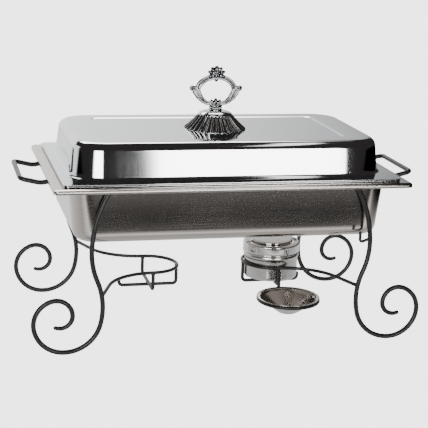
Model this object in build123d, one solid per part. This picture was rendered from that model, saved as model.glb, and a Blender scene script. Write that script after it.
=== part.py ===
from build123d import *
import math
import os

# Chafing dish food warmer: a scrolled rod stand that carries a water pan, a food
# pan and a lid with a cast handle, over two wire baskets for fuel.
# Millimetres. Origin on the table under the middle of the stand, +X along the
# long side, +Y to the back, +Z up.

# ---- driving dimensions ----
rod_r = 3.8                 # stand rod
wire_r = 2.8                # basket wire
hook_r = 2.3                # utensil hook wire
leg_y = 154.5               # plane of each leg
rail_x = 273.5              # end rails, either side of the middle
rail_z = 255.2              # height of the rail rods
rail_corner = 12.0          # bend where an end rail turns to meet a long rail
leg_top_x = 192.2           # leg centre line where it meets the rail
leg_heading = -60.2         # degrees, heading of the leg as it leaves the rail
foot_flat = 0.15            # depth of the levelled flat under each foot
leg_bends = [
    (194.0, -26.0),
    (117.0, -26.6),
    (108.0, 36.8),
    (56.0, 79.5),
    (46.5, 77.5),
    (38.0, 81.0),
    (25.0, 107.6),
    (19.0, 111.8),
]                           # radius and turn of each bend, from rail to scroll tip

handle_x = 318.0            # outer bar of each end handle
handle_y = 65.0             # half spacing of its two arms
handle_z = 254.6            # height of the outer bar
handle_dip_z = 247.6        # low point of an arm, just outside the rim
handle_dip_x = 288.0
handle_bend = 9.0

basket_x = 105.0            # centre of each burner basket
basket_r = 48.0             # centre line of the basket ring
loop_z = 91.5               # height of the loop wire
loop_flare_r = 85.0         # bend that opens each loop arm out to its leg
loop_flare_turn = 70.0      # degrees
loop_leg_x = 204.6          # leg centre line at the height of the loop
long_wire_z = 57.4          # bottom run along X
cross_wire_z = 63.0         # bottom run along Y, lying on the long wire
basket_bend = 6.0
basket_tip_x = 152.5        # turned-up free end of the long wire
basket_tip_z = 70.0

snuffer_ring_r = 48.5
snuffer_ring_z = 58.0
stem_y = -(basket_r + 2 * wire_r)
stem_top_z = 88.0
snuffer_y = stem_y - snuffer_ring_r - 2 * wire_r + 0.1

sheet = 0.9                 # wall of the pans and the lid
water_rim = (279.3, 173.2)  # half sizes of the water pan's rim
water_rim_z = 260.3
water_lip = 7.2             # depth of the turned-down lip
water_mouth = (253.6, 150.3)
water_seat = 14.0           # depth of the straight band under the rim
water_step = 3.2            # shoulder below the band
water_floor_z = 168.0
water_taper = 6.0
water_corner = 46.0
water_heel = 16.0           # bend between wall and floor

food_rim = (262.8, 161.3)
food_rim_z = 263.0
food_lip = 2.4
food_mouth = (248.6, 146.0)
food_depth = 65.0
food_taper = 5.0
food_corner = 42.0
food_heel = 14.0

lid_rim = (263.5, 162.0)
lid_rim_z = 265.3
lid_lip = 2.0
lid_wall = (247.5, 135.5)   # half sizes of the dome where it leaves the rim
lid_top_z = 319.5
lid_taper = 7.0
lid_corner = 44.0
lid_brow = 14.0             # bend between wall and top
lid_panel = (190.0, 92.0)   # half sizes of the sunk panel in the top
lid_panel_depth = 1.4
lid_panel_corner = 12.0
rim_corner = 8.0

base_r = 51.0               # fluted foot of the handle
base_top_r = 25.0
base_top_z = 344.0
cap_top_z = 347.6
neck_r = 10.2
neck_top_z = 357.0
ring_x = 28.0               # ring handle, half width to its centre line
ring_z = 378.6              # centre of the ring
ring_rise = 17.8            # half height to its centre line
ring_rod = 3.4
ear_x = 38.6
ear_z = 385.0
crest_z = 405.0
crest_top_z = 420.0

cup_r = 44.6
cup_floor_z = cross_wire_z + wire_r + 0.3
cup_top_z = 109.0
cup_wall = 0.7
collar_r = 47.2
collar_inner_r = 45.3
collar_top_z = 126.5
collar_low_z = 109.0
collar_mouth_r = 31.0
cover_r = 34.0
cover_z = 127.0             # underside of the swivelling cover
cover_rise = 3.2
rivet_x = basket_x + 39.5

dish_r = 50.5
dish_rim_z = 62.6
dish_floor_z = 35.0
dish_wall = 0.8

bolt_r = 2.5
bolt_head_r = 5.2
washer_r = 9.0

sides = {"left": -1, "right": 1}
ends = {"front": -1, "back": 1}

# ---- helpers ----


def walk(start, heading, lead, bends, mirror):
    """Wire of one straight lead and tangent arcs in the XZ plane, at y = start.Y."""
    x, y, z = start
    h = math.radians(heading)
    pieces = []
    nx = x + lead * math.cos(h)
    nz = z + lead * math.sin(h)
    pieces.append(Line((mirror * x, y, z), (mirror * nx, y, nz)))
    x, z = nx, nz
    for radius, turn in bends:
        t = math.radians(turn)
        s = 1 if t > 0 else -1
        cx = x - s * radius * math.sin(h)
        cz = z + s * radius * math.cos(h)

        def at(a):
            return (mirror * (cx + s * radius * math.sin(h + a)), y, cz - s * radius * math.cos(h + a))

        pieces.append(ThreePointArc(at(0), at(t / 2), at(t)))
        x = cx + s * radius * math.sin(h + t)
        z = cz - s * radius * math.cos(h + t)
        h += t
    return Wire(pieces)


def rod_along(path, radius):
    """Round rod swept along a path."""
    return sweep(Plane(origin=path @ 0, z_dir=path % 0) * Circle(radius), path=path)


def bent_rod(points, radii, radius):
    """Round rod along straight runs joined by tangent bends."""
    return rod_along(Wire(FilletPolyline(*points, radius=radii).edges()), radius)


def straight_rod(p, q, radius):
    return rod_along(Wire([Line(p, q)]), radius)


def block(half, corner, z_top, depth, taper, heel):
    """Rounded box hanging down from z_top, walls leaning in, with a rolled heel."""
    outline = RectangleRounded(2 * half[0], 2 * half[1], corner)
    solid = Pos(0, 0, z_top) * extrude(outline, amount=depth, dir=(0, 0, -1), taper=taper)
    if heel > 0:
        floor_edges = solid.faces().sort_by(Axis.Z)[0].edges()
        solid = fillet(floor_edges, heel)
    return solid


def slab(half, corner, z_low, z_high):
    """Flat rounded plate between two heights."""
    plate = extrude(RectangleRounded(2 * half[0], 2 * half[1], corner), amount=z_high - z_low)
    return Pos(0, 0, z_low) * plate


def shrink(half, amount):
    return (half[0] - amount, half[1] - amount)


def turned(points):
    """Solid of revolution about +Z from an (r, z) outline."""
    face = make_face(Polyline(*[(r, 0, z) for r, z in points], close=True))
    return revolve(face, axis=Axis.Z)


def rim(half, z_top, lip, opening, opening_corner):
    """Flat rim of sheet with a turned-down lip, open in the middle."""
    plate = slab(half, rim_corner, z_top - lip, z_top)
    plate -= slab(shrink(half, sheet), rim_corner - sheet, z_top - lip - 1, z_top - sheet)
    plate -= slab(opening, opening_corner, z_top - lip - 1, z_top + 1)
    return plate


def save(part, name):
    part.label = name
    export_step(part, "parts/" + name + ".step")


# ---- stand ----


def leg_fall():
    """Drop of the leg's bends, from the end of its lead to the lowest point."""
    h = math.radians(leg_heading)
    z = 0
    for radius, turn in leg_bends:
        t = math.radians(turn)
        s = 1 if t > 0 else -1
        if h < 0 <= h + t:
            return -(z + s * radius * (math.cos(h) - 1))
        z += s * radius * (math.cos(h) - math.cos(h + t))
        h += t


def rail_long(y):
    reach = rail_x - rail_corner
    return straight_rod((-reach, y, rail_z), (reach, y, rail_z), rod_r)


def rail_end(side):
    x_in = side * (rail_x - rail_corner)
    x_out = side * rail_x
    points = [(x_in, -leg_y, rail_z), (x_out, -leg_y, rail_z), (x_out, leg_y, rail_z), (x_in, leg_y, rail_z)]
    return bent_rod(points, [rail_corner - 0.01] * 2, rod_r)


def leg(side, end, rail):
    """Leg whose straight lead is as long as it takes for the foot to stand on the table."""
    lead = (rail_z - rod_r + foot_flat - leg_fall()) / math.sin(math.radians(-leg_heading))
    path = walk((leg_top_x, end * leg_y, rail_z), leg_heading, lead, leg_bends, side)
    tip = path @ 1
    body = rod_along(path, rod_r)
    body += Pos(*tip) * Sphere(rod_r)
    below_table = Pos(side * 260, end * leg_y, -5) * Box(120, 20, 10)
    return body - rail - below_table


def handle(side, rail):
    x_root = side * rail_x
    x_dip = side * handle_dip_x
    x_bar = side * handle_x
    root_z = handle_dip_z + 1.6
    points = [
        (x_root, -handle_y, root_z),
        (x_dip, -handle_y, handle_dip_z),
        (x_bar, -handle_y, handle_z),
        (x_bar, handle_y, handle_z),
        (x_dip, handle_y, handle_dip_z),
        (x_root, handle_y, root_z),
    ]
    bar = bent_rod(points, [30.0, handle_bend, handle_bend, 30.0], rod_r)
    return bar - rail


def loop_path(side):
    """Open ring round the basket whose two arms flare out to the legs."""
    t = math.radians(loop_flare_turn)
    x_flare = basket_x + loop_flare_r * math.sin(t)
    y_flare = basket_r + loop_flare_r * (1 - math.cos(t))
    half_t = t / 2
    x_mid = basket_x + loop_flare_r * math.sin(half_t)
    y_mid = basket_r + loop_flare_r * (1 - math.cos(half_t))

    def p(x, y):
        return (side * x, y, loop_z)

    x_leg = x_flare + (leg_y - y_flare) / math.tan(t)
    return Wire([
        Line(p(x_leg, -leg_y), p(x_flare, -y_flare)),
        ThreePointArc(p(x_flare, -y_flare), p(x_mid, -y_mid), p(basket_x, -basket_r)),
        ThreePointArc(p(basket_x, -basket_r), p(basket_x - basket_r, 0), p(basket_x, basket_r)),
        ThreePointArc(p(basket_x, basket_r), p(x_mid, y_mid), p(x_flare, y_flare)),
        Line(p(x_flare, y_flare), p(x_leg, leg_y)),
    ])


def cross_wire(side):
    x = side * basket_x
    top = loop_z - wire_r
    points = [
        (x, -basket_r, top),
        (x, -basket_r, cross_wire_z),
        (x, basket_r, cross_wire_z),
        (x, basket_r, top),
    ]
    return bent_rod(points, [basket_bend] * 2, wire_r)


def long_wire(side):
    top = loop_z - wire_r
    x_in = side * (basket_x - basket_r)
    x_out = side * basket_tip_x
    points = [
        (x_in, 0, top),
        (x_in, 0, long_wire_z),
        (x_out, 0, long_wire_z),
        (x_out, 0, basket_tip_z),
    ]
    return bent_rod(points, [basket_bend] * 2, wire_r)


def snuffer_ring():
    return Pos(basket_x, snuffer_y, snuffer_ring_z) * Torus(snuffer_ring_r, wire_r)


def snuffer_stem(ring):
    stem = straight_rod((basket_x, stem_y, snuffer_ring_z - wire_r), (basket_x, stem_y, stem_top_z), wire_r)
    return stem - ring


def utensil_hook(leg_solid):
    y = -leg_y
    points = [(217.4, y, 167.4), (203.6, y, 162.6), (203.0, y, 180.0)]
    return bent_rod(points, [3.2], hook_r) - leg_solid


# ---- pans ----


def water_pan_rim():
    return rim(water_rim, water_rim_z, water_lip, shrink(water_mouth, sheet), water_corner - sheet)


def water_pan():
    """Well of the water pan, hanging from its rim."""
    mouth = water_mouth
    seat_low = water_rim_z - water_seat
    lower = shrink(mouth, water_step)
    depth = seat_low - water_floor_z
    outer = slab(mouth, water_corner, seat_low - 1.2, water_rim_z - sheet)
    outer += block(lower, water_corner - water_step, seat_low, depth, water_taper, water_heel)
    inner = slab(shrink(mouth, sheet), water_corner - sheet, seat_low - 1.2 + sheet, water_rim_z + 1)
    inner += block(
        shrink(lower, sheet), water_corner - water_step - sheet, seat_low, depth - sheet,
        water_taper, water_heel - sheet,
    )
    return outer - inner


def food_pan_rim():
    return rim(food_rim, food_rim_z, food_lip, shrink(food_mouth, sheet), food_corner - sheet)


def food_pan():
    """Well of the food pan, hanging from its rim."""
    mouth = food_mouth
    top = food_rim_z - sheet
    outer = block(mouth, food_corner, top, food_depth - sheet, food_taper, food_heel)
    inner = block(
        shrink(mouth, sheet), food_corner - sheet, top, food_depth - 2 * sheet,
        food_taper, food_heel - sheet,
    )
    throat = slab(shrink(mouth, sheet), food_corner - sheet, top - 0.5, food_rim_z + 1)
    return outer - inner - throat


def flipped(solid):
    """Turn a hanging block into a standing one, about z = 0."""
    return Rot(180, 0, 0) * solid


def dome(half, corner, z_low, z_top, brow):
    """Rounded box standing up from z_low."""
    return flipped(block(half, corner, -z_low, z_top - z_low, lid_taper, brow))


def lid_shell():
    top = lid_rim_z
    outer = dome(lid_wall, lid_corner, top - sheet, lid_top_z, lid_brow)
    outer -= slab(lid_panel, lid_panel_corner, lid_top_z - lid_panel_depth, lid_top_z + 1)
    inner = dome(shrink(lid_wall, sheet), lid_corner - sheet, top - sheet, lid_top_z - sheet, lid_brow - sheet)
    deep = slab(
        (lid_panel[0] + sheet, lid_panel[1] + sheet), lid_panel_corner + sheet,
        lid_top_z - lid_panel_depth - sheet, lid_top_z,
    )
    inner -= deep
    inner += slab(shrink(lid_wall, sheet), lid_corner - sheet, top - lid_lip - 1, top - sheet + 0.01)
    edge = rim(lid_rim, top, lid_lip, shrink(lid_wall, sheet), lid_corner - sheet)
    bolt_hole = Pos(0, 0, lid_top_z - 5) * Cylinder(bolt_r + 0.3, 20)
    return edge + outer - inner - bolt_hole


# ---- handle on the lid ----


def panel_top():
    return lid_top_z - lid_panel_depth


def finial_base():
    low = panel_top()
    outline = [
        (bolt_r, low + 8.0),
        (bolt_r, cap_top_z - 3.0),
        (0.0, cap_top_z - 3.0),
        (0.0, cap_top_z),
        (neck_r + 6.0, cap_top_z - 0.6),
        (base_top_r - 1.0, base_top_z),
        (base_top_r + 1.6, base_top_z - 3.4),
        (33.0, low + 12.5),
        (41.0, low + 5.8),
        (base_r, low + 1.9),
        (base_r, low),
        (base_r - 1.6, low),
        (39.6, low + 3.4),
        (31.4, low + 10.2),
        (base_top_r - 1.4, base_top_z - 5.4),
        (8.0, base_top_z - 4.0),
        (6.5, low),
        (bolt_r, low),
    ]
    return turned(outline)


def finial_collar():
    z = cap_top_z - 0.35
    outline = [
        (0.0, z),
        (neck_r, z),
        (neck_r, z + 2.0),
        (neck_r - 2.2, z + 3.2),
        (neck_r - 1.8, z + 6.2),
        (neck_r, z + 7.4),
        (neck_r, neck_top_z),
        (0.0, neck_top_z),
    ]
    return turned(outline) - finial_base()


def finial_ring(collar):
    ellipse = Plane(origin=(0, 0, ring_z), x_dir=(1, 0, 0), z_dir=(0, -1, 0)) * Ellipse(ring_x, ring_rise)
    path = Wire(ellipse.edges())
    ring = rod_along(path, ring_rod)
    for s in (-1, 1):
        ring += Pos(s * ear_x, 0, ear_z) * Rot(90, 0, 0) * Torus(2.6, 1.7)
        ring += straight_rod((s * (ring_x + 1), 0, ring_z - 4), (s * (ear_x - 1), 0, ear_z - 2.5), 2.2)
    crest_r = (crest_top_z - crest_z)
    ring += Pos(0, 0, crest_z - 3) * Rot(90, 0, 0) * Cylinder(9.5, 7.0)
    for a in (0, 45, 90, 135, 180):
        lobe_x = 9.5 * math.cos(math.radians(a))
        lobe_z = crest_z - 1 + 9.5 * math.sin(math.radians(a))
        ring += Pos(lobe_x, 0, lobe_z) * Sphere(crest_r - 8.5 - 0.5)
    ring += Pos(0, 0, ring_z - ring_rise + 2.6) * Sphere(3.6)
    return ring - collar


def finial_bolt():
    low = panel_top() - sheet - 1.2
    head = Pos(0, 0, low - 2.0) * Cylinder(bolt_head_r, 4.0)
    head = fillet(head.edges().group_by(Axis.Z)[0], 1.6)
    shank = Pos(0, 0, low + 12.0) * Cylinder(bolt_r - 0.02, 24.0)
    slot = Pos(0, 0, low - 4.0) * Box(1.2, 14, 2.4)
    return head + shank - slot


def finial_washer():
    low = panel_top() - sheet - 1.2
    ring = Pos(0, 0, low + 0.6) * Cylinder(washer_r, 1.2)
    return ring - Pos(0, 0, low) * Cylinder(bolt_r + 0.2, 6)


# ---- fuel holder ----


def holder_cup():
    z = cup_floor_z
    r = cup_r
    w = cup_wall
    outline = [
        (0, z),
        (r - 4.0, z),
        (r - 1.2, z + 1.1),
        (r, z + 4.0),
        (r, cup_top_z - 9.0),
        (r + 0.6, cup_top_z - 7.6),
        (r + 1.8, cup_top_z - 4.6),
        (r + 1.8, cup_top_z - 2.4),
        (r + 0.6, cup_top_z - 0.6),
        (r + 0.6, cup_top_z + 5.0),
        (r - w, cup_top_z + 5.0),
        (r - w, z + 4.2),
        (r - 1.8, z + w + 1.0),
        (r - 4.2, z + w),
        (0, z + w),
    ]
    return Pos(basket_x, 0, 0) * turned(outline)


def holder_collar():
    """Upright band of the collar."""
    r = collar_r
    top = collar_top_z
    outline = [
        (collar_inner_r, collar_low_z),
        (r, collar_low_z),
        (r + 0.7, collar_low_z + 0.8),
        (r, collar_low_z + 1.7),
        (r, top - 1.6),
        (r - 1.6, top),
        (collar_inner_r, top),
    ]
    return Pos(basket_x, 0, 0) * turned(outline)


def holder_shoulder():
    """Flat top of the collar, with the mouth for the flame."""
    top = collar_top_z
    outline = [
        (collar_inner_r, top),
        (collar_mouth_r + 5.5, top),
        (collar_mouth_r + 4.0, top - 1.2),
        (collar_mouth_r, top - 1.2),
        (collar_mouth_r, top - 1.2 - cup_wall),
        (collar_inner_r, top - 1.2 - cup_wall),
    ]
    ring = Pos(basket_x, 0, 0) * turned(outline)
    return ring - Pos(rivet_x, 0, top - 5) * Cylinder(1.6, 12)


def holder_cover():
    z = cover_z
    outline = [
        (0, z + cover_rise - 0.8),
        (cover_r - 1.6, z + cover_rise - 0.8),
        (cover_r - 0.8, z + cover_rise - 1.6),
        (cover_r - 0.8, z),
        (cover_r, z),
        (cover_r, z + cover_rise - 1.0),
        (cover_r - 1.2, z + cover_rise),
        (0, z + cover_rise),
    ]
    disc = Pos(basket_x, 0, 0) * turned(outline)
    tab_length = rivet_x - basket_x - cover_r + 5.0
    tab = Pos(basket_x + cover_r - 1 + tab_length / 2, 0, z + 0.4) * Box(tab_length, 10, 0.8)
    tab = fillet(tab.edges().filter_by(Axis.Z).group_by(Axis.X)[-1], 4.8)
    tab -= Pos(rivet_x, 0, z) * Cylinder(1.65, 6)
    tail = Pos(basket_x - cover_r - 4.0, 0, z + 1.6) * Box(10, 11, 0.9)
    tail = fillet(tail.edges().filter_by(Axis.Z).group_by(Axis.X)[0], 4.4)
    return disc + tab + tail


def cover_rivet():
    z = cover_z
    shank = Pos(rivet_x, 0, z - 1.4) * Cylinder(1.6, 5.0)
    head = Pos(rivet_x, 0, z + 1.75) * Cylinder(3.2, 1.3)
    head = fillet(head.edges().group_by(Axis.Z)[-1], 0.9)
    return head + shank


# ---- snuffer ----


def snuffer_dish():
    top = dish_rim_z
    low = dish_floor_z
    w = dish_wall
    outline = [
        (1.6, low),
        (9.0, low),
        (15.0, low + 1.5),
        (19.5, low + 4.6),
        (43.6, top - 5.2),
        (45.8, top - 1.9),
        (48.0, top - 1.2),
        (dish_r - 0.5, top - 1.2),
        (dish_r, top - 0.9),
        (dish_r, top - 0.3),
        (dish_r - 0.5, top),
        (48.0, top - 0.3),
        (45.0, top - 1.1),
        (42.8, top - 4.6),
        (19.0, low + 4.6 + w),
        (14.6, low + 1.5 + w),
        (9.0, low + w),
        (1.6, low + w),
    ]
    return Pos(basket_x, snuffer_y, 0) * turned(outline)


def snuffer_rivet():
    low = dish_floor_z
    shank = Pos(0, 0, low + 0.4) * Cylinder(1.58, 1.6)
    head = Pos(0, 0, low + dish_wall + 0.9) * Cylinder(3.6, 1.8)
    head = fillet(head.edges().group_by(Axis.Z)[-1], 1.5)
    tail = Pos(0, 0, low - 0.5) * Cylinder(3.2, 1.0)
    tail = fillet(tail.edges().group_by(Axis.Z)[0], 0.7)
    return Pos(basket_x, snuffer_y, 0) * (head + shank + tail)


def build_stand():
    pieces = {}
    long_rails = {}
    for end_name, end in ends.items():
        long_rails[end_name] = rail_long(end * leg_y)
        pieces["top_rail_" + end_name] = long_rails[end_name]
    for side_name, side in sides.items():
        end_rail = rail_end(side)
        pieces["top_rail_" + side_name] = end_rail
        pieces["handle_" + side_name] = handle(side, end_rail)
        pieces["basket_cross_wire_" + side_name] = cross_wire(side)
        pieces["basket_long_wire_" + side_name] = long_wire(side)
        loop = rod_along(loop_path(side), wire_r)
        for end_name, end in ends.items():
            one_leg = leg(side, end, long_rails[end_name])
            pieces["leg_" + end_name + "_" + side_name] = one_leg
            loop -= one_leg
        pieces["burner_loop_" + side_name] = max(loop.solids(), key=lambda s: s.volume)
    pieces["snuffer_ring"] = snuffer_ring()
    pieces["snuffer_ring_stem"] = snuffer_stem(pieces["snuffer_ring"])
    pieces["utensil_hook"] = utensil_hook(pieces["leg_front_right"])
    return pieces


def build_top():
    collar = finial_collar()
    return {
        "water_pan_rim": water_pan_rim(),
        "water_pan": water_pan(),
        "food_pan_rim": food_pan_rim(),
        "food_pan": food_pan(),
        "lid_shell": lid_shell(),
        "finial_base": finial_base(),
        "finial_collar": collar,
        "finial_ring": finial_ring(collar),
        "finial_bolt": finial_bolt(),
        "finial_washer": finial_washer(),
    }


def build_burner():
    return {
        "holder_cup": holder_cup(),
        "holder_collar": holder_collar(),
        "holder_shoulder": holder_shoulder(),
        "holder_cover": holder_cover(),
        "cover_rivet": cover_rivet(),
        "snuffer_dish": snuffer_dish(),
        "snuffer_rivet": snuffer_rivet(),
    }


def main():
    os.makedirs("parts", exist_ok=True)
    for group in (build_stand(), build_top(), build_burner()):
        for name, part in group.items():
            save(part, name)


main()
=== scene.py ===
import bpy
import numpy as np
from mathutils import Matrix, Vector


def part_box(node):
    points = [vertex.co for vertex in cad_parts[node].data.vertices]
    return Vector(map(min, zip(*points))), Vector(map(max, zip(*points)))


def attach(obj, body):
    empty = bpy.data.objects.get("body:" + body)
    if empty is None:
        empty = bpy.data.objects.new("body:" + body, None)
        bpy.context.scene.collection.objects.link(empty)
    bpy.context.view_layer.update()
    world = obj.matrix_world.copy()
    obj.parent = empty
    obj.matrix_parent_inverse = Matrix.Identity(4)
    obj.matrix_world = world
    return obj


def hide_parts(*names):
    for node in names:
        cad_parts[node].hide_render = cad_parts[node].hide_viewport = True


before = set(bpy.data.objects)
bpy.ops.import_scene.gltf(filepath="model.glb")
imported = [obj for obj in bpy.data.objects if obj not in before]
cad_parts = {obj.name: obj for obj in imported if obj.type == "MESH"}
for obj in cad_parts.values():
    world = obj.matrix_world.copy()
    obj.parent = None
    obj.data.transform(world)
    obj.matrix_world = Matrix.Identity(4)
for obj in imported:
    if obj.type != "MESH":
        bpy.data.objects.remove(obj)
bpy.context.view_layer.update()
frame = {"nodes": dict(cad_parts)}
nodes = frame["nodes"]
print("frame loaded:", len(nodes), "nodes")

# Shapes below are worked out in millimetres; pieceFrom turns them into metres.
mm = 0.001


def boxMm(*names):
    boxes = [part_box(name) for name in names]
    low = np.min([np.array(pair[0]) for pair in boxes], 0)
    high = np.max([np.array(pair[1]) for pair in boxes], 0)
    return low / mm, high / mm


def pieceFrom(name, points, quads, caps, material, body, slotName, stands=(), sharpAngle=None):
    # points (n, 3) in millimetres, quads (m, 4) of indices, caps a list of index rings
    mesh = bpy.data.meshes.new(name)
    loops = np.concatenate([quads.ravel()] + [np.asarray(c) for c in caps]).astype(np.int32)
    sizes = np.concatenate([np.full(len(quads), 4), [len(c) for c in caps]]).astype(np.int32)
    starts = np.concatenate([[0], np.cumsum(sizes)[:-1]]).astype(np.int32)
    mesh.vertices.add(len(points))
    mesh.vertices.foreach_set("co", (points * mm).astype(np.float32).ravel())
    mesh.loops.add(len(loops))
    mesh.polygons.add(len(sizes))
    mesh.polygons.foreach_set("loop_start", starts)
    mesh.polygons.foreach_set("vertices", loops)
    mesh.polygons.foreach_set("use_smooth", np.ones(len(sizes), bool))
    mesh.update(calc_edges=True)
    mesh.validate()
    if sharpAngle is not None:
        mesh.set_sharp_from_angle(angle=np.radians(sharpAngle))
    piece = bpy.data.objects.new(name, mesh)
    bpy.context.scene.collection.objects.link(piece)
    mesh.materials.append(material)
    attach(piece, body)
    if stands:
        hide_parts(*stands)
    return piece


def gridFaces(rows, columns, wrapRows=False, wrapColumns=True, offset=0):
    # quads between neighbouring rows and columns of a grid of points
    index = np.arange(rows * columns).reshape(rows, columns) + offset
    if wrapRows:
        index = np.vstack([index, index[:1]])
    if wrapColumns:
        index = np.hstack([index, index[:, :1]])
    return np.stack([index[:-1, :-1], index[:-1, 1:], index[1:, 1:], index[1:, :-1]], -1).reshape(-1, 4)


def join(parts):
    # several (points, quads, caps) sets as one
    points, quads, caps, count = [], [], [], 0
    for p, q, c in parts:
        points.append(p)
        quads.append(q + count)
        caps += [np.asarray(ring) + count for ring in c]
        count += len(p)
    return np.concatenate(points), np.concatenate(quads), caps


def tube(path, radius, ref, sides=20, flat=1.0, lobes=None, closed=False):
    # a ring of points about each path point: path + radius * (cos a * side + sin a * flat * up),
    # where side is square to the path and to ref; open ends close in a half sphere
    path = np.asarray(path, float)
    radius = np.broadcast_to(np.asarray(radius, float), len(path)).copy()
    flat = np.broadcast_to(np.asarray(flat, float), len(path)).copy()
    if closed:
        ahead = np.roll(path, -1, 0) - np.roll(path, 1, 0)
    else:
        ahead = np.gradient(path, axis=0)
        dome = np.radians(np.linspace(85, 15, 6))
        t0 = ahead[0] / np.linalg.norm(ahead[0])
        t1 = ahead[-1] / np.linalg.norm(ahead[-1])
        head = path[0] - np.outer(np.sin(dome), t0) * radius[0]
        tail = path[-1] + np.outer(np.sin(dome[::-1]), t1) * radius[-1]
        path = np.vstack([head, path, tail])
        ahead = np.vstack([np.tile(t0, (6, 1)), ahead, np.tile(t1, (6, 1))])
        radius = np.concatenate([radius[0] * np.cos(dome), radius, radius[-1] * np.cos(dome[::-1])])
        flat = np.concatenate([np.full(6, flat[0]), flat, np.full(6, flat[-1])])
    ahead /= np.linalg.norm(ahead, axis=1, keepdims=True)
    side = np.cross(ahead, np.asarray(ref, float))
    side /= np.linalg.norm(side, axis=1, keepdims=True)
    up = np.cross(side, ahead)
    a = np.linspace(0, 2 * np.pi, sides, endpoint=False)
    shape = np.ones(sides) if lobes is None else 1 + lobes[1] * np.cos(lobes[0] * a + lobes[2])
    ring = (np.cos(a) * shape)[None, :, None] * side[:, None, :]
    ring = ring + (np.sin(a) * shape)[None, :, None] * up[:, None, :] * flat[:, None, None]
    points = path[:, None, :] + ring * radius[:, None, None]
    rows = len(path)
    quads = gridFaces(rows, sides, wrapRows=closed)
    caps = [] if closed else [np.arange(sides)[::-1], np.arange(sides) + (rows - 1) * sides]
    return points.reshape(-1, 3), quads[:, ::-1], [c[::-1] for c in caps]


def bends(start, heading, lead, turns, stepMm=2.0):
    # a straight lead and then tangent arcs in a plane: each arc's points lie on a circle
    # whose centre is square to the heading, on the side that it turns to
    x, z = start
    h = np.radians(heading)
    pieces = [np.array([[x, z]])]
    n = max(int(lead / stepMm), 1)
    run = np.linspace(0, lead, n + 1)[1:]
    pieces.append(np.stack([x + run * np.cos(h), z + run * np.sin(h)], 1))
    x, z = pieces[-1][-1]
    for r, turn in turns:
        t = np.radians(turn)
        s = np.sign(t)
        n = max(int(abs(t) * r / stepMm), 6)
        a = np.linspace(0, t, n + 1)[1:]
        arc = np.stack([x + s * r * (np.sin(h + a) - np.sin(h)), z - s * r * (np.cos(h + a) - np.cos(h))],
                       1)
        pieces.append(arc)
        x, z = arc[-1]
        h += t
    return np.concatenate(pieces)


def bentPath(points, radii, stepMm=1.5):
    # straight runs whose corners are rounded: each corner's arc is tangent to both runs
    points = [np.asarray(p, float) for p in points]
    path = [points[0][None]]
    for p, q, r, radius in zip(points[:-2], points[1:-1], points[2:], radii):
        a = (p - q) / np.linalg.norm(p - q)
        b = (r - q) / np.linalg.norm(r - q)
        half = np.arccos(np.clip(a @ b, -1, 1)) / 2
        cut = radius / np.tan(half)
        centre = q + (a + b) / np.linalg.norm(a + b) * radius / np.sin(half)
        u = (q + a * cut - centre) / radius
        v = (q + b * cut - centre) / radius
        turn = np.pi - 2 * half
        n = max(int(turn * radius / stepMm), 8)
        w = np.linspace(0, 1, n)[:, None] * turn
        path.append(centre + radius * (np.sin(turn - w) * u + np.sin(w) * v) / np.sin(turn))
    path.append(points[-1][None])
    return resample(np.concatenate(path), stepMm)


def resample(path, stepMm):
    # the same line with points at most stepMm apart, its own points kept
    gaps = np.linalg.norm(np.diff(path, axis=0), axis=1)
    counts = np.maximum(np.ceil(gaps / stepMm).astype(int), 1)
    spots = np.concatenate([[0]] + [i + np.arange(1, c + 1) / c for i, c in enumerate(counts)])
    return np.stack([np.interp(spots, np.arange(len(path)), path[:, k]) for k in range(path.shape[1])], 1)


def splinePath(points, count, closed=False):
    # smooth line through the points: cubic pieces whose slope at a point follows its two neighbours
    p = np.asarray(points, float)
    if closed:
        p = np.vstack([p[-1:], p, p[:2]])
    else:
        p = np.vstack([2 * p[0] - p[1], p, 2 * p[-1] - p[-2]])
    pieces = len(p) - 3
    s = np.linspace(0, pieces, count, endpoint=not closed)
    i = np.minimum(s.astype(int), pieces - 1)
    t = (s - i)[:, None]
    a, b, c, d = p[i], p[i + 1], p[i + 2], p[i + 3]
    return 0.5 * (2 * b + (c - a) * t + (2 * a - 5 * b + 4 * c - d) * t ** 2
                  + (3 * b - a - 3 * c + d) * t ** 3)


def arcPoints(centre, radius, startDeg, endDeg, count=9):
    a = np.radians(np.linspace(startDeg, endDeg, count))
    return np.stack([centre[0] + radius * np.cos(a), centre[1] + radius * np.sin(a)], 1)


def lathe(profile, centre=(0, 0), sides=128, closed=False, capStart=False, capEnd=False):
    # each (r, z) of the profile becomes a ring of radius r about a vertical line through centre
    profile = np.asarray(profile, float)
    a = np.linspace(0, 2 * np.pi, sides, endpoint=False)
    x = centre[0] + profile[:, :1] * np.cos(a)
    y = centre[1] + profile[:, :1] * np.sin(a)
    z = np.broadcast_to(profile[:, 1:2], x.shape)
    points = np.stack([x, y, z], -1).reshape(-1, 3)
    rows = len(profile)
    caps = []
    if capStart:
        caps.append(np.arange(sides)[::-1])
    if capEnd:
        caps.append(np.arange(sides) + (rows - 1) * sides)
    return points, gridFaces(rows, sides, wrapRows=closed), caps


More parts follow.
